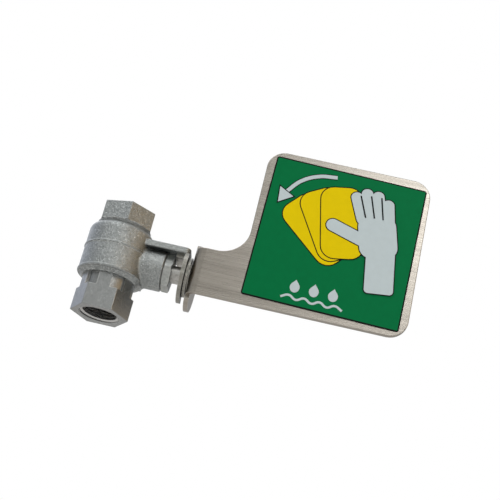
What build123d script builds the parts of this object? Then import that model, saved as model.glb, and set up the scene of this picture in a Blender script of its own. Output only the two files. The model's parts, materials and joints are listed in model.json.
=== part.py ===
"""Push-plate ball valve for an emergency wash fitting, half-inch ports.

Frame: +Z is the flow axis, +X the stem axis, and -Y the side that the user pushes from.
The origin is on the flow axis where the thread of the lower port begins.
Lengths are millimetres. The valve is shut, with the push plate upright.
"""
from build123d import *
from math import asin, cos, degrees, radians, sin
import os

# ---------------------------------------------------------------- ports and flow axis
port_thread_radius = 20.955 / 2      # half-inch parallel pipe thread, major radius
port_thread_depth = 14.0             # from the port face
port_wall = 2.0                      # least metal round a port's thread
mouth_chamfer = 0.6                  # lead-in at each port
inlet_throat = 5.1                   # lower thread to its seat pocket
outlet_throat = 3.6                  # upper thread to its seat pocket
hex_step = 1.0                       # collar to the flats of the hexagons
hex_edge_round = 0.5
flow_bore_radius = 7.5

# ---------------------------------------------------------------- ball and seats
ball_wall = 4.9                      # ball past its own bore
ball_clearance = 0.08                # ball to seat
cavity_clearance = 0.3               # ball to body
seat_inset = 0.8                     # seat ring's rim inside the ball's radius
seat_height = 4.9                    # along the flow axis
seat_wall = 0.9                      # least metal round a seat pocket
seat_clearance = 0.05
slot_width = 5.0
slot_web = 1.8                       # ball's bore to the floor of its slot
slot_clearance = 0.05

# ---------------------------------------------------------------- cast body
barrel_wall = 4.8                    # round the cavity, and over the upper seat pocket
barrel_rim_height = 2.5              # sloped part at the lower end
rim_wall = 1.4                       # round the end cap's spigot
shoulder_round = 3.4
shoulder_flat = 0.4                  # least flat between the shoulder's round and the collar
collar_height = 2.2                  # barrel to the upper hexagon
collar_waist_inset = 0.2             # waist inside the hexagon's flats
collar_top_proud = 1.1               # collar's top outside the hexagon's flats
upper_hex_turn = 10.4                # the cast hexagon stands this far round from square
bead_height = 4.2                    # above the ball centre
bead_radius = 0.9
bead_proud = 0.4
neck_wall = 2.6                      # round the gland's thread
neck_root_round = 2.0
neck_end_chamfer = 0.5
neck_to_rim = 1.4                    # underside of the neck to the barrel's lower edge

# ---------------------------------------------------------------- cast bracket over the neck
bracket_gland_gap = 0.5              # gland hexagon to the bracket's underside
bracket_thickness = 3.5
bracket_side = 3.0                   # past the stop plate's foot, on each side
bracket_past_stop = 0.1              # past the stop plate's face
bracket_corner = 3.0
bracket_edge_round = 0.6

# ---------------------------------------------------------------- end cap
cap_collar_length = 7.4              # hexagon to the body's rim
cap_lug_width = 7.0
cap_lug_count = 6
seat_past_spigot = 0.4               # lower seat pocket past the body's rim
gasket_width = 0.8
gasket_thickness = 1.0
gasket_clearance = 0.05

# ---------------------------------------------------------------- stem and its seals
stem_radius = 4.75
stem_clearance = 0.1
stem_flat_depth = 1.0                # each of the two flats that drive the handle
shoulder_width = 0.85                # shoulder past the stem
shoulder_thickness = 2.0
shoulder_ball_gap = 1.4
shoulder_clearance = 0.2
tang_inset = 0.45                    # ends of the tang inside the stem's radius
tang_gap = 0.3                       # tang to the slot's floor
thrust_washer_thickness = 0.8
stem_web = 1.4                       # thrust washer's recess to the packing's bore
packing_width = 2.35
packing_ring_count = 3
packing_ring_height = 1.35
packing_ring_dish = 0.4
packing_bore_spare = 0.55            # packing's bore past the last ring
packing_clearance = 0.05
follower_height = 2.0
gland_ledge = 0.8                    # packing's bore to the gland's thread
gland_engagement = 2.95              # follower to the end of the neck
gland_hex_gap = 0.3                  # neck to hexagon
gland_hex_ledge = 1.0                # thread to the hexagon's flats
gland_hex_height = 4.0
gland_hex_chamfer = 0.8
o_ring_groove_depth = 1.0
o_ring_groove_width = 1.4
o_ring_clearance = 0.04

# ---------------------------------------------------------------- stop plate under the bracket
foot_gap = 0.6                       # gland hexagon to the foot
foot_length = 4.9
foot_thickness = 2.0
foot_side = 3.0                      # screw centre to the foot's side
stop_thickness = 2.0
stop_past_pin = 1.9                  # rim past the circle that the stop pin runs on
stop_bracket_gap = 0.3
stop_fold_round = 1.0
screw_spacing = 8.0
screw_radius = 1.5
screw_head_radius = 2.8
screw_head_depth = 1.65
screw_fit = 0.1
screw_socket_across = 2.0
screw_socket_depth = 1.0

# ---------------------------------------------------------------- handle stack on the stem
running_gap = 0.4                    # fixed stop plate to turning spacer
spacer_width = 5.95
spacer_thickness = 1.3
spring_width = 3.25
spring_height = 1.1
spring_thickness = 0.6
flats_clearance = 0.05
stem_end_gap = 0.4                   # stem end lies this far inside the flange face
handle_thread_wall = 0.75            # stem's flats to the handle screw
handle_thread_depth = 9.0
handle_screw_gap = 1.0               # screw tip to the end of its hole
handle_washer_cover = 1.25           # washer past the stem
handle_washer_thickness = 1.6
lock_washer_width = 2.7
lock_washer_thickness = 1.5
lock_washer_split = 1.0
handle_hex_ledge = 2.0               # thread to the hexagon's flats
handle_hex_height = 4.0
handle_hex_chamfer = 0.6

# ---------------------------------------------------------------- push handle, one bent sheet
sheet = 2.5
flange_past_stop = 3.5               # flange's rim past the stop plate's
bend_inside = 3.0                    # inner radius of the bend
bend_washer_gap = 2.5                # handle washer to the start of the bend
arm_top_inset = 4.4                  # arm's upper edge inside the flange's radius
arm_bottom_inset = 5.2
arm_length = 25.7                    # flange to push plate
plate_width = 89.8
plate_height = 91.4
plate_corner = 10.0
arm_inner_round = 15.0
lobe_corner_round = 2.5              # where the flange's lobes give way to the bend
sheet_edge_round = 0.4

# ---------------------------------------------------------------- stop pin in the flange
pin_radius = 1.25
pin_spacer_gap = 0.45
pin_angle = 55.0                     # from straight up, towards the back
pin_gap = 0.15                       # pin to the ends of the notch
handle_travel = 90.0
pin_head_width = 0.95
pin_head_height = 0.8
pin_head_round = 0.48
pin_tip_chamfer = 0.25
pin_reach = 0.2                      # past the stop plate's inner face

# ---------------------------------------------------------------- sign on the push plate
label_side_margin = 3.35
label_end_margin = 4.05
label_turn = 1.35                    # stuck on a little askew, clockwise
label_thickness = 0.3
label_corner = 1.5

# ---------------------------------------------------------------- worked out: radii and heights of the valve
ball_radius = flow_bore_radius + ball_wall
cavity_radius = ball_radius + cavity_clearance
slot_floor = flow_bore_radius + slot_web
seat_radius = ball_radius - seat_inset
seat_outer_end = ball_radius         # heights are measured from the ball centre
seat_inner_end = seat_outer_end - seat_height
inlet_face_to_ball = seat_outer_end + inlet_throat + port_thread_depth
outlet_face_to_ball = seat_outer_end + outlet_throat + port_thread_depth
ball_height = inlet_face_to_ball - mouth_chamfer
top_face = ball_height + outlet_face_to_ball
cap_collar_radius = max(seat_radius + seat_wall, port_thread_radius + port_wall)
hex_across = 2 * (cap_collar_radius + hex_step)
collar_waist_radius = hex_across / 2 - collar_waist_inset
collar_top_radius = hex_across / 2 + collar_top_proud

# ---------------------------------------------------------------- worked out: stem, seals and neck
stem_axis = Axis((0, 0, ball_height), (1, 0, 0))
stem_bore = stem_radius + stem_clearance
stem_flats = 2 * (stem_radius - stem_flat_depth)
shoulder_radius = stem_radius + shoulder_width
shoulder_start = ball_radius + shoulder_ball_gap     # distances along the stem from the flow axis
shoulder_end = shoulder_start + shoulder_thickness
recess_end = shoulder_end + thrust_washer_thickness
packing_radius = stem_bore + packing_width
packing_start = recess_end + stem_web
packing_end = packing_start + packing_ring_count * packing_ring_height
follower_end = packing_end + follower_height
gland_thread_radius = packing_radius + gland_ledge
gland_thread_start = packing_end + packing_bore_spare
neck_radius = gland_thread_radius + neck_wall
neck_end = follower_end + gland_engagement
gland_hex_across = 2 * (gland_thread_radius + gland_hex_ledge)
gland_hex_start = neck_end + gland_hex_gap
gland_hex_end = gland_hex_start + gland_hex_height
o_ring_centre = (gland_hex_start + gland_hex_end) / 2
o_ring_groove_radius = stem_radius - o_ring_groove_depth
o_ring_section = (stem_bore - o_ring_groove_radius - o_ring_clearance) / 2

# ---------------------------------------------------------------- worked out: barrel and end cap
barrel_radius = max(cavity_radius + barrel_wall, collar_waist_radius + shoulder_round + shoulder_flat)
barrel_top = seat_outer_end + barrel_wall
barrel_bottom = -max(seat_outer_end - seat_past_spigot, neck_radius + neck_to_rim)
barrel_rim_top = barrel_bottom + barrel_rim_height
hex_bottom = barrel_top + collar_height
cap_spigot_radius = cavity_radius + gasket_width
cap_spigot_top = -seat_inner_end
rim_radius = cap_spigot_radius + rim_wall
cap_hex_height = inlet_face_to_ball + barrel_bottom - cap_collar_length

# ---------------------------------------------------------------- worked out: bracket, stop plate and handle
bracket_bottom = gland_hex_across / 2 + bracket_gland_gap
bracket_top = bracket_bottom + bracket_thickness
foot_start = gland_hex_end + foot_gap
foot_width = screw_spacing + 2 * foot_side
stop_start = foot_start + foot_length
stop_end = stop_start + stop_thickness
screw_x = (foot_start + stop_start) / 2
bracket_end = stop_end + bracket_past_stop
bracket_width = foot_width + 2 * bracket_side
spacer_radius = stem_radius + spacer_width
spacer_start = stop_end + running_gap
spring_start = spacer_start + spacer_thickness
spring_radius = stem_radius + spring_width
flange_start = spring_start + spring_height
flange_end = flange_start + sheet
stem_end = flange_end - stem_end_gap
pin_circle = spacer_radius + pin_spacer_gap + pin_radius
pin_place = (pin_circle * sin(radians(pin_angle)), pin_circle * cos(radians(pin_angle)))
stop_radius = pin_circle + stop_past_pin
flange_radius = stop_radius + flange_past_stop
handle_thread_radius = stem_flats / 2 - handle_thread_wall
handle_washer_radius = stem_radius + handle_washer_cover
lock_washer_radius = handle_thread_radius + lock_washer_width
handle_hex_across = 2 * (handle_thread_radius + handle_hex_ledge)
bend_start = handle_washer_radius + bend_washer_gap  # how far the flat flange reaches to the front
bend_radius = bend_inside + sheet
front_face = bend_start + bend_radius
arm_top = flange_radius - arm_top_inset
handle_bottom = arm_bottom_inset - flange_radius
arm_start = flange_start + bend_radius
plate_left = flange_start + arm_length
plate_right = plate_left + plate_width
plate_top = handle_bottom + plate_height


def level(height):
    """Horizontal plane at a height above the ball centre."""
    return Plane.XY.offset(ball_height + height)


def across(distance):
    """Plane square to the stem; its own x runs to the back and its own y runs up."""
    return Plane(origin=(distance, 0, ball_height), x_dir=(0, 1, 0), z_dir=(1, 0, 0))


def facing_user(depth):
    """Upright plane ahead of the stem axis; its own x runs along the stem and its y runs up."""
    return Plane(origin=(0, -depth, ball_height), x_dir=(1, 0, 0), z_dir=(0, -1, 0))


screw_places = tuple((screw_x, side * screw_spacing / 2) for side in (-1, 1))


def flats_profile(radius, flats):
    """Round bar with two flats, one in front and one behind, drawn in the current sketch."""
    Circle(radius)
    Rectangle(flats, 4 * radius, mode=Mode.INTERSECT)


# ================================================================ valve body
# neck for the stem, with the cast round where it leaves a plain barrel
with BuildPart() as neck:
    with BuildSketch(level(0)):
        Circle(barrel_radius)
    extrude(amount=2 * neck_radius, both=True)
    with BuildSketch(across(0)):
        Circle(neck_radius)
    extrude(amount=neck_end)
    fillet(neck.edges(Select.NEW).filter_by(lambda e: e.center().X < barrel_radius), neck_root_round)
    # only the neck and its round are kept, down to the barrel's lower edge
    with BuildSketch(across(0)):
        Circle(neck_radius + neck_root_round)
        with Locations((0, barrel_bottom)):
            Rectangle(4 * neck_radius, 4 * neck_radius, align=(Align.CENTER, Align.MIN), mode=Mode.INTERSECT)
    extrude(amount=neck_end, mode=Mode.INTERSECT)
    neck_rim = neck.edges().filter_by(GeomType.CIRCLE).sort_by(Axis.X)[-1]
    chamfer(neck_rim, neck_end_chamfer)

# flat bracket that lies along the top of the neck
with BuildPart() as bracket:
    with BuildSketch(level(bracket_bottom)) as bracket_outline:
        with Locations((bracket_end / 2, 0)):
            Rectangle(bracket_end, bracket_width)
        fillet(bracket_outline.vertices().group_by(Axis.X)[-1], bracket_corner)
    extrude(amount=bracket_thickness)
    bracket_faces = bracket.faces().filter_by(Axis.Z)
    fillet(bracket_faces.edges().filter_by(lambda e: e.center().X > 0), bracket_edge_round)

with BuildPart() as valve_body:
    with BuildSketch(Plane.XZ) as barrel_profile:
        with BuildLine():
            Polyline(
                (0, ball_height + barrel_bottom),
                (rim_radius, ball_height + barrel_bottom),
                (barrel_radius, ball_height + barrel_rim_top),
                (barrel_radius, ball_height + barrel_top),
                (collar_waist_radius, ball_height + barrel_top),
                (collar_top_radius, ball_height + hex_bottom),
                (0, ball_height + hex_bottom),
                close=True,
            )
        make_face()
        shoulder = (barrel_radius, ball_height + barrel_top)
        fillet(barrel_profile.vertices().sort_by_distance(shoulder)[0], shoulder_round)
    revolve(axis=Axis.Z)
    add(neck.part)
    add(bracket.part)
    # raised casting beads round the barrel
    with BuildSketch(Plane.XZ):
        bead_centre = barrel_radius + bead_proud - bead_radius
        with Locations((bead_centre, ball_height + bead_height), (bead_centre, ball_height + barrel_rim_top)):
            Circle(bead_radius)
    revolve(axis=Axis.Z)
    # hexagon of the upper port
    with BuildSketch(level(hex_bottom)) as upper_hex:
        RegularPolygon(hex_across / 2, 6, major_radius=False, rotation=30 + upper_hex_turn)
        fillet(upper_hex.vertices(), hex_edge_round)
    extrude(amount=outlet_face_to_ball - hex_bottom)
    fillet(valve_body.faces().sort_by(Axis.Z)[-1].edges(), hex_edge_round)
    # ways through the casting, from the upper port down to the cap's thread
    with BuildSketch(Plane.XZ):
        with BuildLine():
            Polyline(
                (0, ball_height + barrel_bottom),
                (cap_spigot_radius, ball_height + barrel_bottom),
                (cap_spigot_radius, ball_height + cap_spigot_top + gasket_thickness),
                (cavity_radius, ball_height + cap_spigot_top + gasket_thickness),
                (cavity_radius, ball_height + seat_inner_end),
                (seat_radius, ball_height + seat_inner_end),
                (seat_radius, ball_height + seat_outer_end),
                (flow_bore_radius, ball_height + seat_outer_end),
                (flow_bore_radius, top_face - port_thread_depth),
                (port_thread_radius, top_face - port_thread_depth),
                (port_thread_radius, top_face - mouth_chamfer),
                (port_thread_radius + mouth_chamfer, top_face),
                (0, top_face),
                close=True,
            )
        make_face()
    revolve(axis=Axis.Z, mode=Mode.SUBTRACT)
    # stepped stem bore along the neck
    stem_steps = (
        (0, recess_end, shoulder_radius + shoulder_clearance),
        (recess_end, packing_start, stem_bore),
        (packing_start, gland_thread_start, packing_radius),
        (gland_thread_start, neck_end, gland_thread_radius),
    )
    for start, end, radius in stem_steps:
        with BuildSketch(across(start)):
            Circle(radius)
        extrude(amount=end - start, mode=Mode.SUBTRACT)
    # countersunk holes for the stop plate's screws
    for place in screw_places:
        with BuildSketch(level(bracket_bottom)):
            with Locations(place):
                Circle(screw_radius + screw_fit)
        extrude(amount=bracket_thickness, mode=Mode.SUBTRACT)
        with BuildSketch(level(bracket_top - screw_head_depth)):
            with Locations(place):
                Circle(screw_radius + screw_fit)
        with BuildSketch(level(bracket_top)):
            with Locations(place):
                Circle(screw_head_radius + screw_fit)
        loft(mode=Mode.SUBTRACT)

# ================================================================ end cap
with BuildPart() as end_cap:
    with BuildSketch(level(-inlet_face_to_ball)) as cap_hex:
        RegularPolygon(hex_across / 2, 6, major_radius=False)
        fillet(cap_hex.vertices(), hex_edge_round)
    extrude(amount=cap_hex_height)
    fillet(end_cap.faces().sort_by(Axis.Z)[0].edges(), hex_edge_round)
    with BuildSketch(level(-inlet_face_to_ball + cap_hex_height)):
        Circle(cap_collar_radius)
    extrude(amount=cap_collar_length)
    # six lugs, flush with the flats, that stop against the body's rim
    with BuildSketch(level(-inlet_face_to_ball + cap_hex_height)):
        with PolarLocations(0, cap_lug_count, start_angle=30):
            Rectangle(hex_across / 2, cap_lug_width, align=(Align.MIN, Align.CENTER))
    extrude(amount=cap_collar_length)
    with BuildSketch(level(barrel_bottom)):
        Circle(cap_spigot_radius)
    extrude(amount=cap_spigot_top - barrel_bottom)
    with BuildSketch(Plane.XZ):
        with BuildLine():
            Polyline(
                (0, -mouth_chamfer),
                (port_thread_radius + mouth_chamfer, -mouth_chamfer),
                (port_thread_radius, 0),
                (port_thread_radius, port_thread_depth - mouth_chamfer),
                (flow_bore_radius, port_thread_depth - mouth_chamfer),
                (flow_bore_radius, ball_height - seat_outer_end),
                (seat_radius, ball_height - seat_outer_end),
                (seat_radius, ball_height + cap_spigot_top),
                (0, ball_height + cap_spigot_top),
                close=True,
            )
        make_face()
    revolve(axis=Axis.Z, mode=Mode.SUBTRACT)

# ================================================================ body gasket
with BuildPart() as body_gasket:
    with BuildSketch(level(cap_spigot_top)):
        Circle(cap_spigot_radius - gasket_clearance)
        Circle(cavity_radius + gasket_clearance, mode=Mode.SUBTRACT)
    extrude(amount=gasket_thickness)

# ================================================================ ball, its bore from front to back
with BuildPart() as ball:
    with Locations((0, 0, ball_height)):
        Sphere(ball_radius)
        Cylinder(flow_bore_radius, 2 * ball_radius, rotation=(90, 0, 0), mode=Mode.SUBTRACT)
    with BuildSketch(across(slot_floor)):
        Rectangle(slot_width, 2 * ball_radius)
    extrude(amount=ball_radius, mode=Mode.SUBTRACT)

# ================================================================ seat rings, one on each side of the ball
with BuildPart() as seat_ring_upper:
    with BuildSketch(level(seat_inner_end)):
        Circle(seat_radius - seat_clearance)
        Circle(flow_bore_radius, mode=Mode.SUBTRACT)
    extrude(amount=seat_outer_end - seat_inner_end)
    with Locations((0, 0, ball_height)):
        Sphere(ball_radius + ball_clearance, mode=Mode.SUBTRACT)

with BuildPart() as seat_ring_lower:
    with BuildSketch(level(-seat_outer_end)):
        Circle(seat_radius - seat_clearance)
        Circle(flow_bore_radius, mode=Mode.SUBTRACT)
    extrude(amount=seat_outer_end - seat_inner_end)
    with Locations((0, 0, ball_height)):
        Sphere(ball_radius + ball_clearance, mode=Mode.SUBTRACT)

# ================================================================ stem
tang_start = slot_floor + tang_gap
with BuildPart() as stem:
    with BuildSketch(across(tang_start)):
        Rectangle(slot_width - 2 * slot_clearance, 2 * (stem_radius - tang_inset))
    extrude(amount=shoulder_start - tang_start)
    with BuildSketch(across(shoulder_start)):
        Circle(shoulder_radius)
    extrude(amount=shoulder_end - shoulder_start)
    with BuildSketch(across(shoulder_end)):
        Circle(stem_radius)
    extrude(amount=spacer_start - shoulder_end)
    with BuildSketch(across(spacer_start)):
        flats_profile(stem_radius, stem_flats)
    extrude(amount=stem_end - spacer_start)
    # groove for the outer ring, then the threaded hole for the handle screw
    with BuildSketch(across(o_ring_centre - o_ring_groove_width / 2)):
        Circle(stem_radius)
        Circle(o_ring_groove_radius, mode=Mode.SUBTRACT)
    extrude(amount=o_ring_groove_width, mode=Mode.SUBTRACT)
    with BuildSketch(across(stem_end - handle_thread_depth)):
        Circle(handle_thread_radius)
    extrude(amount=handle_thread_depth, mode=Mode.SUBTRACT)

with BuildPart() as stem_o_ring:
    ring_centre = ball_height + o_ring_groove_radius + o_ring_section
    with BuildSketch(Plane.XZ):
        with Locations((o_ring_centre, ring_centre)):
            Circle(o_ring_section)
    revolve(axis=stem_axis)

with BuildPart() as thrust_washer:
    with BuildSketch(across(shoulder_end)):
        Circle(shoulder_radius + shoulder_clearance - packing_clearance)
        Circle(stem_bore, mode=Mode.SUBTRACT)
    extrude(amount=thrust_washer_thickness)

# chevron rings that seal the stem
with BuildPart() as stem_packing:
    for ring in range(packing_ring_count):
        back = packing_start + ring * packing_ring_height
        middle = (stem_bore + packing_radius - packing_clearance) / 2
        with BuildSketch(Plane.XZ):
            with BuildLine():
                Polyline(
                    (back, ball_height + stem_bore),
                    (back + packing_ring_dish, ball_height + middle),
                    (back, ball_height + packing_radius - packing_clearance),
                    (back + packing_ring_height - packing_ring_dish,
                     ball_height + packing_radius - packing_clearance),
                    (back + packing_ring_height, ball_height + middle),
                    (back + packing_ring_height - packing_ring_dish, ball_height + stem_bore),
                    close=True,
                )
            make_face()
        revolve(axis=stem_axis)

with BuildPart() as packing_follower:
    with BuildSketch(across(packing_end)):
        Circle(packing_radius - packing_clearance)
        Circle(stem_bore, mode=Mode.SUBTRACT)
    extrude(amount=follower_height)

with BuildPart() as gland_nut:
    with BuildSketch(across(follower_end)):
        Circle(gland_thread_radius)
    extrude(amount=gland_hex_start - follower_end)
    with BuildSketch(across(gland_hex_start)):
        RegularPolygon(gland_hex_across / 2, 6, major_radius=False)
    extrude(amount=gland_hex_end - gland_hex_start)
    # corners turned down at both ends of the hexagon
    hex_corner_radius = gland_hex_across / 2 / cos(radians(30))
    with BuildSketch(Plane.XZ):
        with BuildLine():
            Polyline(
                (follower_end, ball_height),
                (follower_end, ball_height + gland_thread_radius),
                (gland_hex_start, ball_height + gland_thread_radius),
                (gland_hex_start, ball_height + hex_corner_radius - gland_hex_chamfer),
                (gland_hex_start + gland_hex_chamfer / 2, ball_height + hex_corner_radius),
                (gland_hex_end - gland_hex_chamfer / 2, ball_height + hex_corner_radius),
                (gland_hex_end, ball_height + hex_corner_radius - gland_hex_chamfer),
                (gland_hex_end, ball_height),
                close=True,
            )
        make_face()
    revolve(axis=stem_axis, mode=Mode.INTERSECT)
    with BuildSketch(across(follower_end)):
        Circle(stem_bore)
    extrude(amount=gland_hex_end - follower_end, mode=Mode.SUBTRACT)

# ================================================================ stop plate under the bracket
pin_half_angle = degrees(asin((pin_radius + pin_gap) / pin_circle))
notch_first = pin_angle - pin_half_angle
notch_last = pin_angle + handle_travel + pin_half_angle
with BuildPart() as stop_plate:
    with BuildSketch(across(stop_start)):
        Circle(stop_radius)
        with Locations((0, bracket_bottom - stop_bracket_gap)):
            Rectangle(4 * stop_radius, 2 * stop_radius, align=(Align.CENTER, Align.MIN), mode=Mode.SUBTRACT)
        Circle(stem_bore, mode=Mode.SUBTRACT)
        # notch in the rear rim that the pin sweeps through
        notch_inner = pin_circle - pin_radius - pin_gap
        notch_outer = flange_radius
        with BuildLine():
            inner = CenterArc((0, 0), notch_inner, 90 - notch_first, notch_first - notch_last)
            outer = CenterArc((0, 0), notch_outer, 90 - notch_first, notch_first - notch_last)
            Line(inner @ 0, outer @ 0)
            Line(inner @ 1, outer @ 1)
        make_face(mode=Mode.SUBTRACT)
    extrude(amount=stop_thickness)
    with BuildSketch(level(bracket_bottom - foot_thickness)):
        with Locations((foot_start, 0)):
            Rectangle(stop_end - foot_start, foot_width, align=(Align.MIN, Align.CENTER))
    extrude(amount=foot_thickness)
    fold_corner = (stop_end, 0, ball_height + bracket_bottom)
    fold = stop_plate.edges().filter_by(Axis.Y).sort_by_distance(fold_corner)[0]
    fillet(fold, stop_fold_round)
    with BuildSketch(level(bracket_bottom - foot_thickness)):
        with Locations(*screw_places):
            Circle(screw_radius)
    extrude(amount=foot_thickness, mode=Mode.SUBTRACT)

with BuildPart() as stop_plate_screws:
    for place in screw_places:
        with BuildSketch(level(bracket_bottom - foot_thickness)):
            with Locations(place):
                Circle(screw_radius)
        extrude(amount=foot_thickness + bracket_thickness - screw_head_depth)
        with BuildSketch(level(bracket_top - screw_head_depth)):
            with Locations(place):
                Circle(screw_radius)
        with BuildSketch(level(bracket_top)):
            with Locations(place):
                Circle(screw_head_radius)
        loft()
        with BuildSketch(level(bracket_top - screw_socket_depth)):
            with Locations(place):
                RegularPolygon(screw_socket_across / 2, 6, major_radius=False)
        extrude(amount=screw_socket_depth, mode=Mode.SUBTRACT)

# ================================================================ washers between stop plate and handle
with BuildPart() as spacer_washer:
    with BuildSketch(across(spacer_start)):
        Circle(spacer_radius)
        flats_hole = Circle(stem_radius + flats_clearance, mode=Mode.PRIVATE)
        flats_box = Rectangle(stem_flats + 2 * flats_clearance, 4 * stem_radius, mode=Mode.PRIVATE)
        add(flats_hole & flats_box, mode=Mode.SUBTRACT)
    extrude(amount=spacer_thickness)

with BuildPart() as disc_spring:
    with BuildSketch(Plane.XZ):
        with BuildLine():
            Polyline(
                (flange_start, ball_height + stem_radius + flats_clearance),
                (flange_start - spring_thickness, ball_height + stem_radius + flats_clearance),
                (spring_start, ball_height + spring_radius),
                (spring_start + spring_thickness, ball_height + spring_radius),
                close=True,
            )
        make_face()
    revolve(axis=stem_axis)

# ================================================================ push handle, one bent sheet
with BuildPart() as push_handle:
    with BuildSketch(across(flange_start)) as flange:
        Circle(flange_radius)
        with Locations((-bend_start, handle_bottom)):
            Rectangle(bend_start, arm_top - handle_bottom, align=(Align.MIN, Align.MIN))
        with Locations((-bend_start, 0)):
            Rectangle(
                2 * flange_radius,
                4 * flange_radius,
                align=(Align.MAX, Align.CENTER),
                mode=Mode.SUBTRACT,
            )
        lobe_half = (flange_radius**2 - bend_start**2) ** 0.5
        for lobe_corner in ((-bend_start, -lobe_half), (-bend_start, lobe_half)):
            fillet(flange.vertices().sort_by_distance(lobe_corner)[0], lobe_corner_round)
        add(flats_hole & flats_box, mode=Mode.SUBTRACT)
        with Locations(pin_place):
            Circle(pin_radius, mode=Mode.SUBTRACT)
    extrude(amount=sheet)
    # quarter-round bend from the flange to the arm
    with BuildSketch(level(handle_bottom)) as bend:
        with Locations((arm_start, -bend_start)):
            Circle(bend_radius)
            Circle(bend_radius - sheet, mode=Mode.SUBTRACT)
            Rectangle(2 * bend_radius, 2 * bend_radius, align=(Align.MAX, Align.MAX), mode=Mode.INTERSECT)
    extrude(amount=arm_top - handle_bottom)
    # arm and push plate in one outline
    with BuildSketch(facing_user(front_face - sheet)) as blade:
        with BuildLine():
            Polyline(
                (arm_start, handle_bottom),
                (plate_right, handle_bottom),
                (plate_right, plate_top),
                (plate_left, plate_top),
                (plate_left, arm_top),
                (arm_start, arm_top),
                close=True,
            )
        make_face()
        fillet(blade.vertices().sort_by_distance((plate_left, arm_top))[0], arm_inner_round)
        outer_corners = (
            (plate_right, handle_bottom),
            (plate_right, plate_top),
            (plate_left, plate_top),
        )
        for corner in outer_corners:
            fillet(blade.vertices().sort_by_distance(corner)[0], plate_corner)
    extrude(amount=sheet)
    # broken edges on the front and back of the blade
    blade_edges = push_handle.edges().filter_by(lambda e: e.center().X > arm_start)
    fillet(blade_edges.filter_by(lambda e: abs(e.tangent_at(0.5).Y) < 0.5), sheet_edge_round)

# ================================================================ fasteners at the stem's end
with BuildPart() as handle_washer:
    with BuildSketch(across(flange_end)):
        Circle(handle_washer_radius)
        Circle(handle_thread_radius + screw_fit, mode=Mode.SUBTRACT)
    extrude(amount=handle_washer_thickness)

lock_start = flange_end + handle_washer_thickness
with BuildPart() as lock_washer:
    with BuildSketch(across(lock_start)):
        Circle(lock_washer_radius)
        Circle(handle_thread_radius + screw_fit, mode=Mode.SUBTRACT)
        Rectangle(
            lock_washer_split,
            2 * lock_washer_radius,
            align=(Align.CENTER, Align.MIN),
            mode=Mode.SUBTRACT,
        )
    extrude(amount=lock_washer_thickness)

screw_seat = lock_start + lock_washer_thickness
screw_tip = stem_end - handle_thread_depth + handle_screw_gap
with BuildPart() as handle_screw:
    with BuildSketch(across(screw_tip)):
        Circle(handle_thread_radius)
    extrude(amount=screw_seat - screw_tip)
    with BuildSketch(across(screw_seat)):
        RegularPolygon(handle_hex_across / 2, 6, major_radius=False)
    extrude(amount=handle_hex_height)
    # corners turned down at the head's outer end
    head_end = screw_seat + handle_hex_height
    with BuildSketch(Plane.XZ):
        with BuildLine():
            Polyline(
                (screw_tip, ball_height),
                (screw_tip, ball_height + handle_hex_across),
                (head_end - handle_hex_chamfer, ball_height + handle_hex_across),
                (head_end - handle_hex_chamfer, ball_height + handle_hex_across / 2 / cos(radians(30))),
                (head_end, ball_height + handle_hex_across / 2),
                (head_end, ball_height),
                close=True,
            )
        make_face()
    revolve(axis=stem_axis, mode=Mode.INTERSECT)

with BuildPart() as stop_pin:
    with BuildSketch(across(stop_start - pin_reach)):
        with Locations(pin_place):
            Circle(pin_radius)
    extrude(amount=flange_end - stop_start + pin_reach)
    with BuildSketch(across(flange_end)):
        with Locations(pin_place):
            Circle(pin_radius + pin_head_width)
    extrude(amount=pin_head_height)
    pin_rims = stop_pin.edges().filter_by(GeomType.CIRCLE).sort_by(Axis.X)
    fillet(pin_rims[-1], pin_head_round)
    chamfer(pin_rims[0], pin_tip_chamfer)

# ================================================================ sign stuck to the push plate
with BuildPart() as sign_label:
    with BuildSketch(facing_user(front_face)) as sign:
        with Locations(((plate_left + plate_right) / 2, (handle_bottom + plate_top) / 2)):
            Rectangle(
                plate_width - 2 * label_side_margin,
                plate_height - 2 * label_end_margin,
                rotation=-label_turn,
            )
        fillet(sign.vertices(), label_corner)
    extrude(amount=label_thickness)

# ================================================================ written pieces
pieces = {
    "valve_body": valve_body,
    "end_cap": end_cap,
    "body_gasket": body_gasket,
    "ball": ball,
    "seat_ring_upper": seat_ring_upper,
    "seat_ring_lower": seat_ring_lower,
    "stem": stem,
    "stem_o_ring": stem_o_ring,
    "thrust_washer": thrust_washer,
    "stem_packing": stem_packing,
    "packing_follower": packing_follower,
    "gland_nut": gland_nut,
    "stop_plate": stop_plate,
    "stop_plate_screws": stop_plate_screws,
    "spacer_washer": spacer_washer,
    "disc_spring": disc_spring,
    "push_handle": push_handle,
    "handle_washer": handle_washer,
    "lock_washer": lock_washer,
    "handle_screw": handle_screw,
    "stop_pin": stop_pin,
    "sign_label": sign_label,
}
os.makedirs("parts", exist_ok=True)
for name, piece in pieces.items():
    piece.part.label = name
    export_step(piece.part, f"parts/{name}.step")
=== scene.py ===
"""Looks of the push-plate ball valve: finishes, port threads and the printed sign."""
import json
import math

import bmesh
import bpy
from mathutils import Matrix, Vector


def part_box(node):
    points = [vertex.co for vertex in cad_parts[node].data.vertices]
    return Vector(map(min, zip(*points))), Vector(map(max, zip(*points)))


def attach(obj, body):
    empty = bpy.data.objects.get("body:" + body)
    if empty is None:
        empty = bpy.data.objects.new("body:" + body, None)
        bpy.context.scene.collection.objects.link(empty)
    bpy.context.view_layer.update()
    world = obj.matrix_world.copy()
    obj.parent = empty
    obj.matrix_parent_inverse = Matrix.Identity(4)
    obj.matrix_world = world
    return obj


MM = 0.001

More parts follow.
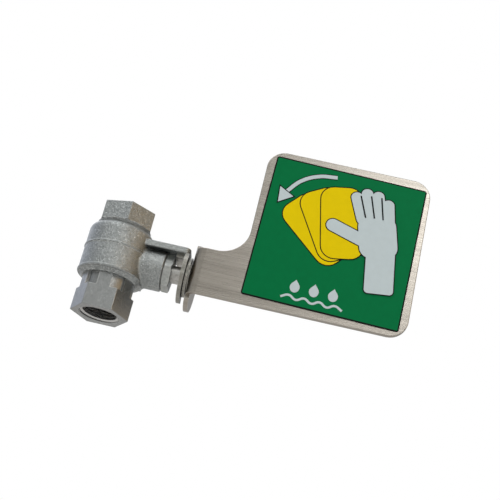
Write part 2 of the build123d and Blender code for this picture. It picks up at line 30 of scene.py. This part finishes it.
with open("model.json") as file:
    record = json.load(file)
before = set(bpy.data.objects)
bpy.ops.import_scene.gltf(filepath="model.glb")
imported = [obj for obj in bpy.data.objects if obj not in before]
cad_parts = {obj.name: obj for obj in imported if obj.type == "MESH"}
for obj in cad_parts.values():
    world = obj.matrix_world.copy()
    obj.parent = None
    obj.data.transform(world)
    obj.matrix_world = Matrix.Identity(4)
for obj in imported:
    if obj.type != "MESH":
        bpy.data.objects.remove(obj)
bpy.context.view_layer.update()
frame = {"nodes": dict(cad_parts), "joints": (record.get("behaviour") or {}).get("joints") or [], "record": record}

# ---------------------------------------------------------------- places read from the frame
mounts = {m["name"]: m for m in frame["record"]["mounts"]}
body_low, body_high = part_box("valve_body")
cap_low, cap_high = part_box("end_cap")
label_low, label_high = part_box("sign_label")
stem_height = frame["joints"][0]["pos_m"][2]
label_front = label_low.y

# half-inch pipe thread
THREAD_PITCH = 1.814 * MM
THREAD_LENGTH = 13.2 * MM
THREAD_LEAD_IN = 0.45                # share of a pitch between the mouth and the first ridge
THREAD_SINK = 0.1 * MM               # the ridge's foot goes this far into the wall
THREAD_DEPTH = 1.16 * MM
CREST_HALF = 0.16 * MM
ROOT_HALF = 0.80 * MM
TURN_STEPS = 72

# the sign sits a little askew: its turn, its corners and the sheet that its print is drawn on
SIGN_TURN = math.radians(1.35)
SIGN_CORNER = 1.5 * MM
DRAWING_SIZE = 82.0

# print on the sign, in millimetres
INK = 0.04                           # one layer of ink
BORDER = 0.75
LINE = 0.55
HAND_LEVEL = 0.34                    # the hand's rules lie this far above the sign
LAYER = 0.004                        # from one part of the hand to the next
CORNER_STEPS = 6                     # steps in each rounded corner of a slab


def sign_size():
    """Width and height of the sign along its own turned edges."""
    straight = label_high - label_low - Vector((2, 0, 2)) * SIGN_CORNER
    across, tilt = math.cos(SIGN_TURN), math.sin(SIGN_TURN)
    share = across**2 - tilt**2
    width = (across * straight.x - tilt * straight.z) / share + 2 * SIGN_CORNER
    height = (across * straight.z - tilt * straight.x) / share + 2 * SIGN_CORNER
    return width, height


label_centre = (label_low + label_high) / 2
label_width, label_height = sign_size()


# ================================================================ node helpers
def new_group(name, inputs, outputs):
    """Shader node group with float inputs (name, default) and outputs (name, kind)."""
    group = bpy.data.node_groups.new(name, "ShaderNodeTree")
    group.interface.new_socket("Vector", in_out="INPUT", socket_type="NodeSocketVector")
    for label, default in inputs:
        socket = group.interface.new_socket(label, in_out="INPUT", socket_type="NodeSocketFloat")
        socket.default_value = default
    for label, kind in outputs:
        group.interface.new_socket(label, in_out="OUTPUT", socket_type=kind)
    return group


def node(tree, kind, values=None, **settings):
    """Adds a node, sets its properties and its input values."""
    made = tree.nodes.new(kind)
    for key, value in settings.items():
        setattr(made, key, value)
    for key, value in (values or {}).items():
        made.inputs[key].default_value = value
    return made


def join(tree, source, target):
    tree.links.new(source, target)


def maths(tree, operation, first, second=None):
    """Math node; each operand is a socket or a number."""
    made = tree.nodes.new("ShaderNodeMath")
    made.operation = operation
    for index, operand in enumerate((first, second)):
        if operand is None:
            continue
        if isinstance(operand, (int, float)):
            made.inputs[index].default_value = operand
        else:
            join(tree, operand, made.inputs[index])
    return made.outputs[0]


def spread(tree, value, low, high, out_low=0.0, out_high=1.0):
    """Maps a value's range on to another, held at both ends."""
    made = node(tree, "ShaderNodeMapRange", {1: low, 2: high, 3: out_low, 4: out_high})
    join(tree, value, made.inputs[0])
    return made.outputs[0]


def noise(tree, vector, scale, detail=4.0, rough=0.55):
    made = node(tree, "ShaderNodeTexNoise", {"Detail": detail, "Roughness": rough})
    if isinstance(scale, (int, float)):
        made.inputs["Scale"].default_value = scale
    else:
        join(tree, scale, made.inputs["Scale"])
    join(tree, vector, made.inputs["Vector"])
    return made.outputs["Fac"]


def stretched(tree, vector, factors):
    made = node(tree, "ShaderNodeMapping", {"Scale": factors})
    join(tree, vector, made.inputs["Vector"])
    return made.outputs["Vector"]


# ================================================================ shared finishes
# depth of each fine relief, in metres, and what the sign's film and its inks share
SHEET_BUMP = 0.00002
BAR_BUMP = 0.00003
SKIN_BUMP = 0.00002
FILM_BUMP = 0.00004
FILM_RIPPLE = 90.0
FILM = {"Metallic": 0.0, "Roughness": 0.45, "Specular_IOR_Level": 0.04}


def build_grain_group():
    """Grit-blasted casting: fine pits over slow waves, and a mottle for the colour."""
    group = new_group(
        "blasted_grain",
        [("Grain", 2600.0), ("Waves", 160.0), ("Wave share", 0.35)],
        [("Height", "NodeSocketFloat"), ("Mottle", "NodeSocketFloat")],
    )
    entry = group.nodes.new("NodeGroupInput")
    leave = group.nodes.new("NodeGroupOutput")
    fine = noise(group, entry.outputs["Vector"], entry.outputs["Grain"], 3.0, 0.6)
    waves = noise(group, entry.outputs["Vector"], entry.outputs["Waves"], 3.0, 0.5)
    lifted = maths(group, "MULTIPLY", waves, entry.outputs["Wave share"])
    join(group, maths(group, "ADD", fine, lifted), leave.inputs["Height"])
    stains = noise(group, entry.outputs["Vector"], 700.0, 6.0, 0.75)
    blend = maths(group, "MULTIPLY", stains, fine)
    join(group, spread(group, blend, 0.12, 0.42), leave.inputs["Mottle"])
    return group


def build_brush_group():
    """Long fine scratches along X, as belt grinding leaves on sheet."""
    group = new_group(
        "belt_lines",
        [("Length", 14.0), ("Fineness", 5200.0)],
        [("Lines", "NodeSocketFloat"), ("Bands", "NodeSocketFloat")],
    )
    entry = group.nodes.new("NodeGroupInput")
    leave = group.nodes.new("NodeGroupOutput")
    parts = group.nodes.new("ShaderNodeSeparateXYZ")
    join(group, entry.outputs["Vector"], parts.inputs[0])
    gather = group.nodes.new("ShaderNodeCombineXYZ")
    for direction, factor in (("X", "Length"), ("Y", "Fineness"), ("Z", "Fineness")):
        drawn_out = maths(group, "MULTIPLY", parts.outputs[direction], entry.outputs[factor])
        join(group, drawn_out, gather.inputs[direction])
    lines = noise(group, gather.outputs[0], 1.0, 2.0, 0.6)
    join(group, lines, leave.inputs["Lines"])
    bands = noise(group, stretched(group, entry.outputs["Vector"], (10.0, 260.0, 260.0)), 1.0, 3.0, 0.6)
    join(group, bands, leave.inputs["Bands"])
    return group


def build_rub_and_highlight_group():
    """Mask of sharp edges, where handling polishes or bares the surface, and where a painted edge highlight
    brightens the colour.
    """
    group = new_group(
        "edge_rub_and_highlight",
        [("Radius", 0.0006), ("Break up", 900.0)],
        [("Edge", "NodeSocketFloat")],
    )
    entry = group.nodes.new("NodeGroupInput")
    leave = group.nodes.new("NodeGroupOutput")
    rounded = node(group, "ShaderNodeBevel", samples=6)
    join(group, entry.outputs["Radius"], rounded.inputs["Radius"])
    true_face = group.nodes.new("ShaderNodeNewGeometry")
    meet = group.nodes.new("ShaderNodeVectorMath")
    meet.operation = "DOT_PRODUCT"
    join(group, rounded.outputs[0], meet.inputs[0])
    join(group, true_face.outputs["Normal"], meet.inputs[1])
    bent = spread(group, meet.outputs["Value"], 0.995, 0.85)
    broken = noise(group, entry.outputs["Vector"], entry.outputs["Break up"], 4.0)
    patchy = spread(group, broken, 0.3, 0.7, 0.4, 1.0)
    join(group, maths(group, "MULTIPLY", bent, patchy), leave.inputs["Edge"])
    return group


GRAIN = build_grain_group()
BRUSH = build_brush_group()
RUB_AND_HIGHLIGHT = build_rub_and_highlight_group()


def start_material(name, **values):
    """Material with its Principled shader, and the object's own coordinates."""
    material = bpy.data.materials.new(name)
    material.use_nodes = True
    tree = material.node_tree
    shader = tree.nodes["Principled BSDF"]
    for key, value in values.items():
        shader.inputs[key.replace("_", " ")].default_value = value
    coordinates = tree.nodes.new("ShaderNodeTexCoord")
    return material, tree, shader, coordinates.outputs["Object"]


def use_group(tree, group, vector, **values):
    made = tree.nodes.new("ShaderNodeGroup")
    made.node_tree = group
    join(tree, vector, made.inputs["Vector"])
    for key, value in values.items():
        made.inputs[key.replace("_", " ")].default_value = value
    return made


def two_tones(tree, factor, first, second):
    made = node(tree, "ShaderNodeMix", {"A": (*first, 1), "B": (*second, 1)}, data_type="RGBA")
    join(tree, factor, made.inputs["Factor"])
    return made.outputs["Result"]


def bump(tree, shader, height, distance):
    made = node(tree, "ShaderNodeBump", {"Distance": distance, "Strength": 1.0})
    join(tree, height, made.inputs["Height"])
    join(tree, made.outputs[0], shader.inputs["Normal"])


def worn_and_highlit_colour(tree, shader, place, tone, radius, bare, share):
    """Base colour that gives way to bare metal where edges are rubbed, and paints a highlight along those edges.
    """
    edges = use_group(tree, RUB_AND_HIGHLIGHT, place, Radius=radius)
    # the pale edge tone is partly bare rubbed metal and partly a painted edge highlight
    brighter = node(tree, "ShaderNodeMix", {"B": (*bare, 1)}, data_type="RGBA")
    join(tree, maths(tree, "MULTIPLY", edges.outputs["Edge"], share), brighter.inputs["Factor"])
    join(tree, tone, brighter.inputs["A"])
    join(tree, brighter.outputs["Result"], shader.inputs["Base Color"])


def casting(name, dark, light, grain, depth, rough_low, rough_high):
    """Blasted stainless casting with paler, smoother edges, from rubbed metal and a painted edge highlight."""
    material, tree, shader, place = start_material(name, Metallic=1.0)
    surface = use_group(tree, GRAIN, place, Grain=grain)
    tone = two_tones(tree, surface.outputs["Mottle"], dark, light)
    # paler edges: real rubbed metal, and partly a painted edge highlight
    worn_and_highlit_colour(tree, shader, place, tone, 0.0005, (0.82, 0.83, 0.82), 0.8)
    rough = spread(tree, surface.outputs["Mottle"], 0.0, 1.0, rough_high, rough_low)
    join(tree, rough, shader.inputs["Roughness"])
    bump(tree, shader, surface.outputs["Height"], depth)
    return material


def brushed_sheet(name, dark, light):
    """Belt-ground stainless sheet."""
    material, tree, shader, place = start_material(name, Metallic=1.0)
    brush = use_group(tree, BRUSH, place)
    tone = two_tones(tree, spread(tree, brush.outputs["Bands"], 0.3, 0.7), dark, light)
    worn_and_highlit_colour(tree, shader, place, tone, 0.0004, (0.75, 0.74, 0.71), 0.5)
    join(tree, spread(tree, brush.outputs["Lines"], 0.3, 0.7, 0.22, 0.4), shader.inputs["Roughness"])
    bump(tree, shader, brush.outputs["Lines"], SHEET_BUMP)
    return material


def turned_bar(name, dark, light, rough, rings_along=(9000.0, 60.0, 60.0)):
    """Lathe-turned stainless: fine rings that follow each other along one axis."""
    material, tree, shader, place = start_material(name, Metallic=1.0)
    rings = noise(tree, stretched(tree, place, rings_along), 1.0, 2.0, 0.5)
    marks = noise(tree, place, 700.0, 5.0, 0.6)
    tone = two_tones(tree, spread(tree, marks, 0.35, 0.65), dark, light)
    worn_and_highlit_colour(tree, shader, place, tone, 0.0003, (0.8, 0.8, 0.78), 0.5)
    join(tree, spread(tree, marks, 0.3, 0.7, rough, rough + 0.14), shader.inputs["Roughness"])
    bump(tree, shader, rings, BAR_BUMP)
    return material


def moulded(name, dark, light, rough, grain):
    """Moulded seal material: a faint cloud of tone and a fine skin."""
    material, tree, shader, place = start_material(name, Metallic=0.0)
    cloud = noise(tree, place, grain, 5.0, 0.6)
    join(tree, two_tones(tree, spread(tree, cloud, 0.3, 0.7), dark, light), shader.inputs["Base Color"])
    join(tree, spread(tree, cloud, 0.3, 0.7, rough, rough + 0.15), shader.inputs["Roughness"])
    bump(tree, shader, noise(tree, place, grain * 6, 3.0), SKIN_BUMP)
    return material


def polished(name):
    """Polished ball with faint hairlines."""
    material, tree, shader, place = start_material(name, Metallic=1.0)
    hair = noise(tree, stretched(tree, place, (400.0, 5000.0, 400.0)), 1.0, 2.0)
    tone = two_tones(tree, hair, (0.62, 0.63, 0.64), (0.78, 0.79, 0.80))
    join(tree, tone, shader.inputs["Base Color"])
    join(tree, spread(tree, hair, 0.3, 0.7, 0.06, 0.16), shader.inputs["Roughness"])
    return material


def printed(name, colour, mottle=0.025):
    """Screen ink under a clear film: slight unevenness of tone and a gently rippled gloss."""
    material, tree, shader, place = start_material(name, **FILM)
    cloud = noise(tree, place, 260.0, 5.0, 0.65)
    low = tuple(c * (1 - mottle) for c in colour)
    high = tuple(min(1.0, c * (1 + mottle)) for c in colour)
    join(tree, two_tones(tree, spread(tree, cloud, 0.3, 0.7), low, high), shader.inputs["Base Color"])
    bump(tree, shader, noise(tree, place, FILM_RIPPLE, 2.0), FILM_BUMP)
    return material


def sign_base(name, field, border):
    """The sign's own film: a green field inside a dark rule along its edge."""
    material, tree, shader, place = start_material(name, **FILM)
    offset = Matrix.Rotation(-SIGN_TURN, 3, "Y") @ -label_centre
    square = node(tree, "ShaderNodeMapping", {"Location": offset, "Rotation": (0, -SIGN_TURN, 0)})
    join(tree, place, square.inputs["Vector"])
    parts = tree.nodes.new("ShaderNodeSeparateXYZ")
    join(tree, square.outputs["Vector"], parts.inputs[0])
    past_side = maths(tree, "SUBTRACT", maths(tree, "ABSOLUTE", parts.outputs["X"]), label_width / 2)
    past_end = maths(tree, "SUBTRACT", maths(tree, "ABSOLUTE", parts.outputs["Z"]), label_height / 2)
    rule = maths(tree, "GREATER_THAN", maths(tree, "MAXIMUM", past_side, past_end), -BORDER * MM)
    cloud = spread(tree, noise(tree, place, 220.0, 5.0, 0.65), 0.3, 0.7)
    green = two_tones(tree, cloud, tuple(c * 0.96 for c in field), tuple(c * 1.04 for c in field))
    final = node(tree, "ShaderNodeMix", {"B": (*border, 1)}, data_type="RGBA")
    join(tree, rule, final.inputs["Factor"])
    join(tree, green, final.inputs["A"])
    join(tree, final.outputs["Result"], shader.inputs["Base Color"])
    bump(tree, shader, noise(tree, place, FILM_RIPPLE, 2.0), FILM_BUMP)
    return material


GREEN = (0.0, 0.140, 0.043)
BLACK = (0.006, 0.006, 0.007)
YELLOW = (0.68, 0.515, 0.0)
PALE = (0.465, 0.54, 0.565)

FINISH = {
    "cast_body": casting(
        "cast_body", (0.16, 0.172, 0.172), (0.42, 0.44, 0.435),
        grain=1900.0, depth=0.00034, rough_low=0.22, rough_high=0.36,
    ),
    "machined_cap": casting(
        "machined_cap", (0.21, 0.22, 0.22), (0.37, 0.38, 0.376),
        grain=3200.0, depth=0.0001, rough_low=0.24, rough_high=0.36,
    ),
    "turned_stainless": turned_bar(
        "turned_stainless", (0.30, 0.295, 0.28), (0.46, 0.455, 0.435), rough=0.26
    ),
    "gland_steel": turned_bar("gland_steel", (0.27, 0.285, 0.275), (0.42, 0.435, 0.42), rough=0.34),
    "sheet_stainless": brushed_sheet("sheet_stainless", (0.27, 0.25, 0.22), (0.345, 0.32, 0.284)),
    "plate_stainless": brushed_sheet("plate_stainless", (0.19, 0.187, 0.168), (0.32, 0.312, 0.282)),
    # lighter than the other turned steel: bare cut metal, and partly painted light that brightens the shaded bore
    "port_thread": turned_bar(
        "port_thread", (0.42, 0.42, 0.41), (0.52, 0.52, 0.51),
        rough=0.24, rings_along=(40.0, 40.0, 900.0),
    ),
    "polished_ball": polished("polished_ball"),
    "seal_white": moulded(
        "seal_white", (0.74, 0.73, 0.69), (0.86, 0.85, 0.82), rough=0.4, grain=500.0
    ),
    "seal_rubber": moulded(
        "seal_rubber", (0.012, 0.012, 0.013), (0.03, 0.03, 0.032), rough=0.55, grain=900.0
    ),
    "sign_film": sign_base("sign_film", GREEN, BLACK),
    "ink_black": printed("ink_black", BLACK, mottle=0.2),
    "ink_yellow": printed("ink_yellow", YELLOW),
    "ink_pale": printed("ink_pale", PALE),
}

NODE_FINISH = {
    "valve_body": "cast_body",
    "end_cap": "machined_cap",
    "ball": "polished_ball",
    "seat_ring_upper": "seal_white",
    "seat_ring_lower": "seal_white",
    "body_gasket": "seal_white",
    "thrust_washer": "seal_white",
    "stem_packing": "seal_white",
    "stem_o_ring": "seal_rubber",
    "gland_nut": "gland_steel",
    "stop_plate": "plate_stainless",
    "spacer_washer": "plate_stainless",
    "disc_spring": "plate_stainless",
    "push_handle": "sheet_stainless",
    "sign_label": "sign_film",
}


def dress_nodes():
    """Gives every carried-over CAD node its finish."""
    for name, obj in frame["nodes"].items():
        obj.data.materials.clear()
        obj.data.materials.append(FINISH[NODE_FINISH.get(name, "turned_stainless")])


# ================================================================ pieces
def keep(mesh_builder, name, body, finish):
    """Turns a bmesh into a flat-shaded piece that rides on a body."""
    mesh = bpy.data.meshes.new(name)
    mesh_builder.to_mesh(mesh)
    mesh_builder.free()
    piece = bpy.data.objects.new(name, mesh)
    bpy.context.scene.collection.objects.link(piece)
    for polygon in mesh.polygons:
        polygon.use_smooth = False
    mesh.materials.append(FINISH[finish])
    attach(piece, body)


def port_thread(name, mount, inward):
    """Helical ridge on a port's wall, spun from one V section."""
    bm = bmesh.new()
    radius = mount["dims"]["r_mm"] * MM
    start_height = mount["pos_m"][2] + inward * THREAD_PITCH * THREAD_LEAD_IN
    section = [
        (radius + THREAD_SINK, -ROOT_HALF),
        (radius - THREAD_DEPTH, -CREST_HALF),
        (radius - THREAD_DEPTH, CREST_HALF),
        (radius + THREAD_SINK, ROOT_HALF),
    ]
    corners = [bm.verts.new((r, 0, start_height + z)) for r, z in section]
    face = bm.faces.new(corners)
    turns = (THREAD_LENGTH - THREAD_PITCH) / THREAD_PITCH
    steps = int(turns * TURN_STEPS)
    bmesh.ops.spin(
        bm,
        geom=[face, *face.edges, *face.verts],
        cent=(0, 0, 0),
        axis=(0, 0, 1),
        dvec=(0, 0, inward * THREAD_PITCH / TURN_STEPS),
        angle=turns * math.tau,
        steps=steps,
        use_duplicate=False,
    )
    bmesh.ops.recalc_face_normals(bm, faces=bm.faces)
    keep(bm, name, "valve", "port_thread")


# ---------------------------------------------------------------- print on the sign
def on_sign(lift):
    """From the drawing, millimetres across and up its sheet, to the sign's face."""
    face = Matrix.Translation((label_centre.x, label_front - lift * MM, label_centre.z))
    turn = Matrix.Rotation(SIGN_TURN, 4, "Y") @ Matrix.Rotation(math.pi / 2, 4, "X")
    size = Matrix.Diagonal((label_width / DRAWING_SIZE, label_height / DRAWING_SIZE, MM, 1))
    middle = Matrix.Translation((-DRAWING_SIZE / 2, -DRAWING_SIZE / 2, 0))
    return face @ turn @ size @ middle


def curve_piece(name, points, finish, lift, closed, grow=0.0, width=None):
    """Flat ink shape or line from points (across, up, 'smooth' or 'corner')."""
    curve = bpy.data.curves.new(name, "CURVE")
    curve.dimensions = "2D" if closed else "3D"
    curve.resolution_u = 10
    spline = curve.splines.new("BEZIER")
    spline.bezier_points.add(len(points) - 1)
    spline.use_cyclic_u = closed
    for place, (x, z, kind) in zip(spline.bezier_points, points):
        place.co = (x, z, 0)
        handle = "AUTO" if kind == "smooth" else "VECTOR"
        place.handle_left_type = handle
        place.handle_right_type = handle
    if closed:
        curve.fill_mode = "BOTH"
        curve.extrude = INK / 2
        curve.offset = grow
    else:
        curve.bevel_depth = width
        curve.bevel_resolution = 3
        curve.use_fill_caps = True
    maker = bpy.data.objects.new(name + "_maker", curve)
    bpy.context.scene.collection.objects.link(maker)
    bpy.context.view_layer.update()
    mesh = bpy.data.meshes.new_from_object(maker.evaluated_get(bpy.context.evaluated_depsgraph_get()))
    bpy.data.objects.remove(maker)
    bm = bmesh.new()
    bm.from_mesh(mesh)
    if not closed:
        bmesh.ops.scale(bm, vec=(1, 1, INK / (2 * width)), verts=bm.verts)
    bmesh.ops.remove_doubles(bm, verts=bm.verts, dist=0.001)
    bmesh.ops.transform(bm, matrix=on_sign(lift), verts=bm.verts)
    bmesh.ops.recalc_face_normals(bm, faces=bm.faces)
    bpy.data.meshes.remove(mesh)
    keep(bm, name, "lever", finish)


def shape(name, points, finish, level):
    """Filled ink shape with a dark rule round it; a level is two layers of ink."""
    lift = level * 2 * INK
    curve_piece(name + "_rule", points, "ink_black", lift, True, grow=LINE)
    curve_piece(name, points, finish, lift + INK, True)


def line(name, points, finish, level, width):
    curve_piece(name, points, finish, level * 2 * INK, False, width=width)


def slab(foot, turn, width, length, corner):
    """Rounded rectangle that stands on its foot and leans anticlockwise by a turn in degrees."""
    half = width / 2 - corner
    lean = Matrix.Rotation(math.radians(turn), 2)
    points = []
    far = length - corner
    for x, y, first in ((half, far, 0), (-half, far, 90), (-half, corner, 180), (half, corner, 270)):
        for step in range(CORNER_STEPS + 1):
            angle = math.radians(first + 90 * step / CORNER_STEPS)
            spot = lean @ Vector((x + corner * math.cos(angle), y + corner * math.sin(angle)))
            points.append((foot[0] + spot.x, foot[1] + spot.y, "corner"))
    return points


def dress_sign():
    """Plain pictogram: a hand tips a plate from upright towards the left, over a water mark.

    Each slab is given as its foot, its turn, its width and length, and its corner radius.
    """
    # three positions of the plate, the furthest first
    for index, turn in enumerate((50, 31, 12)):
        plate = slab((46.0, 32.0), turn, 22.0, 41.0, 7.0)
        shape(f"sign_plate_{index + 1}", plate, "ink_yellow", 1 + index)
    # the hand is one pale outline made of plain parts, with lines between the fingers
    hand = {
        "sign_forearm": slab((68.0, 17.5), 8, 15.0, 34.0, 2.0),
        "sign_palm": slab((64.5, 37.0), 14, 20.0, 24.0, 6.0),
        "sign_thumb": slab((62.0, 42.5), 74, 7.0, 29.0, 3.4),
        "sign_finger_1": slab((53.0, 54.0), 24, 6.2, 19.0, 3.0),
        "sign_finger_2": slab((57.6, 55.0), 20, 6.2, 21.0, 3.0),
        "sign_finger_3": slab((62.2, 55.5), 16, 6.2, 20.0, 3.0),
        "sign_finger_4": slab((66.4, 55.0), 12, 6.2, 16.5, 3.0),
    }
    for name, outline in hand.items():
        curve_piece(name + "_rule", outline, "ink_black", HAND_LEVEL, True, grow=LINE)
    for index, (name, outline) in enumerate(hand.items()):
        curve_piece(name, outline, "ink_pale", HAND_LEVEL + INK + index * LAYER, True)
    for index, (x, z, turn) in enumerate(((52.6, 59.0, 22), (57.2, 59.8, 18), (61.8, 60.0, 14))):
        lean = Matrix.Rotation(math.radians(turn), 2) @ Vector((0, 13.0))
        gap = [(x + 0.6, z - 1.0, "corner"), (x + 0.6 + lean.x, z - 1.0 + lean.y, "corner")]
        line(f"sign_finger_line_{index + 1}", gap, "ink_black", 6.5, LINE * 0.7)
    # one arrow over the plates shows which way they tip
    bends = ((34.0, 77.4), (24.4, 75.6), (15.6, 70.4), (9.6, 62.6))
    sweep = [(x, z, "smooth") for x, z in bends]
    line("sign_arrow_rule", sweep, "ink_black", 1, 1.5)
    line("sign_arrow", sweep, "ink_pale", 1.6, 1.05)
    head = [(5.6, 64.6, "corner"), (6.4, 55.4, "corner"), (13.6, 60.4, "corner")]
    shape("sign_arrow_head", head, "ink_pale", 1.6)
    # water mark: three drops and a wave
    for index, x in enumerate((26.0, 36.0, 46.0)):
        sides = ((x + 2.5, 10.0), (x, 7.4), (x - 2.5, 10.0))
        drop = [(x, 14.6, "corner"), *((side, z, "smooth") for side, z in sides)]
        curve_piece(f"sign_drop_{index + 1}", drop, "ink_pale", 2 * INK, True)
    wave = [(20.0 + 4.0 * step, 4.6 + (0.9 if step % 2 else -0.9), "smooth") for step in range(9)]
    line("sign_wave", wave, "ink_pale", 1, 0.6)


# ================================================================ studio
CAMERA_AZIMUTH = 3.19
CAMERA_ELEVATION = -23.88
CAMERA_ROLL = 13.86
CAMERA_DISTANCE = 0.58775
CAMERA_LENS = 78.75
CAMERA_SENSOR = 36.0
LOOK_AT = Vector((0.06843, 0.0, stem_height + 0.02369))
FLOOR_HEIGHT = -0.42
FLOOR_HALF = 12.0


def place_camera():
    """Camera below the plate, turned about its own axis so that the object leans clockwise."""
    degrees = (CAMERA_AZIMUTH, CAMERA_ELEVATION, CAMERA_ROLL)
    azimuth, elevation, roll = (math.radians(angle) for angle in degrees)
    back = Vector((
        math.sin(azimuth) * math.cos(elevation),
        -math.cos(azimuth) * math.cos(elevation),
        math.sin(elevation),
    ))
    right = (-back).cross(Vector((0, 0, 1))).normalized()
    up = back.cross(right)
    turned_right = right * math.cos(roll) + up * math.sin(roll)
    turned_up = up * math.cos(roll) - right * math.sin(roll)
    data = bpy.data.cameras.new("camera")
    data.lens = CAMERA_LENS
    data.sensor_width = CAMERA_SENSOR
    data.clip_start = 0.01
    camera = bpy.data.objects.new("camera", data)
    bpy.context.scene.collection.objects.link(camera)
    axes = Matrix((turned_right, turned_up, back)).transposed().to_4x4()
    camera.matrix_world = Matrix.Translation(LOOK_AT + back * CAMERA_DISTANCE) @ axes
    bpy.context.scene.camera = camera


def soft_light(name, direction, distance, size, power):
    """Square area light that faces the object from a direction."""
    data = bpy.data.lights.new(name, "AREA")
    data.shape = "SQUARE"
    data.size = size
    data.energy = power
    light = bpy.data.objects.new(name, data)
    bpy.context.scene.collection.objects.link(light)
    away = Vector(direction).normalized()
    light.location = LOOK_AT + away * distance
    light.rotation_mode = "QUATERNION"
    light.rotation_quaternion = away.to_track_quat("Z", "Y")
    light.visible_camera = False


def pale_floor():
    """Pale floor well below the valve, seen only from above."""
    bm = bmesh.new()
    bmesh.ops.create_grid(bm, x_segments=8, y_segments=8, size=FLOOR_HALF)
    bmesh.ops.translate(bm, vec=(0, 0, FLOOR_HEIGHT), verts=bm.verts)
    mesh = bpy.data.meshes.new("floor")
    bm.to_mesh(mesh)
    bm.free()
    floor = bpy.data.objects.new("floor", mesh)
    bpy.context.scene.collection.objects.link(floor)
    material, tree, shader, place = start_material("floor_pale", Roughness=0.8)
    shader.inputs["Base Color"].default_value = (0.86, 0.86, 0.85, 1)
    clear = tree.nodes.new("ShaderNodeBsdfTransparent")
    pick = tree.nodes.new("ShaderNodeMixShader")
    side = tree.nodes.new("ShaderNodeNewGeometry")
    join(tree, side.outputs["Backfacing"], pick.inputs["Fac"])
    join(tree, shader.outputs[0], pick.inputs[1])
    join(tree, clear.outputs[0], pick.inputs[2])
    join(tree, pick.outputs[0], tree.nodes["Material Output"].inputs["Surface"])
    mesh.materials.append(material)


def card(tree, behind, direction, place, colour, sharpness):
    """Soft card of one colour in one direction of the room, over what is behind it."""
    meet = node(tree, "ShaderNodeVectorMath", operation="DOT_PRODUCT")
    join(tree, place, meet.inputs[0])
    meet.inputs[1].default_value = Vector(direction).normalized()
    near = maths(tree, "MAXIMUM", meet.outputs["Value"], 0.0)
    shown = node(tree, "ShaderNodeMix", {"B": (*colour, 1)}, data_type="RGBA")
    join(tree, maths(tree, "POWER", near, sharpness), shown.inputs["Factor"])
    join(tree, behind, shown.inputs["A"])
    return shown.outputs["Result"]


def studio_room():
    """White to the camera; in reflections a studio with a bright table and a few tinted cards."""
    world = bpy.data.worlds.new("studio")
    bpy.context.scene.world = world
    world.use_nodes = True
    tree = world.node_tree
    surface = tree.nodes["Background"]
    place = tree.nodes.new("ShaderNodeTexCoord").outputs["Generated"]
    parts = tree.nodes.new("ShaderNodeSeparateXYZ")
    join(tree, place, parts.inputs[0])
    ramp = tree.nodes.new("ShaderNodeValToRGB")
    join(tree, spread(tree, parts.outputs["Z"], -1.0, 1.0), ramp.inputs["Fac"])
    stops = ((0.0, (1.25, 1.27, 1.30)), (0.30, (0.95, 0.96, 0.98)), (0.50, (0.52, 0.52, 0.52)),
             (0.72, (0.42, 0.42, 0.41)), (1.0, (0.85, 0.85, 0.85)))
    ramp.color_ramp.elements[0].position = stops[0][0]
    ramp.color_ramp.elements[0].color = (*stops[0][1], 1)
    ramp.color_ramp.elements[1].position = stops[-1][0]
    ramp.color_ramp.elements[1].color = (*stops[-1][1], 1)
    for position, colour in stops[1:-1]:
        ramp.color_ramp.elements.new(position).color = (*colour, 1)
    total = ramp.outputs["Color"]
    cards = (
        ((-0.76, 0.51, 0.40), (0.78, 0.82, 0.94), 3.0),
        ((0.88, -0.25, 0.40), (1.05, 0.68, 0.30), 8.0),
        ((-0.60, -0.70, 0.40), (0.60, 0.60, 0.58), 5.0),
        ((-0.05, -0.99, -0.16), (9.0, 9.3, 9.1), 80.0),
    )
    for direction, colour, sharpness in cards:
        total = card(tree, total, direction, place, colour, sharpness)
    join(tree, total, surface.inputs["Color"])
    white = node(tree, "ShaderNodeBackground", {"Color": (1, 1, 1, 1), "Strength": 1.0})
    rays = tree.nodes.new("ShaderNodeLightPath")
    pick = tree.nodes.new("ShaderNodeMixShader")
    join(tree, rays.outputs["Is Camera Ray"], pick.inputs["Fac"])
    join(tree, surface.outputs[0], pick.inputs[1])
    join(tree, white.outputs[0], pick.inputs[2])
    join(tree, pick.outputs[0], tree.nodes["World Output"].inputs["Surface"])


def light_studio():
    soft_light("key", (-0.6, -0.5, 1.1), distance=1.1, size=0.6, power=3.6)
    soft_light("fill", (0.8, -0.7, -0.4), distance=1.2, size=0.9, power=1.6)
    soft_light("rim", (-0.6, 0.8, 0.9), distance=1.2, size=0.8, power=2.0)
    soft_light("front_card", (0.24, -0.84, 0.53), distance=1.25, size=0.46, power=3.0)


# ================================================================ everything in place
dress_nodes()
port_thread("inlet_thread", mounts["inlet_port"], 1)
port_thread("outlet_thread", mounts["outlet_port"], -1)
dress_sign()
place_camera()
studio_room()
light_studio()
pale_floor()
bpy.context.scene.view_settings.view_transform = "Standard"
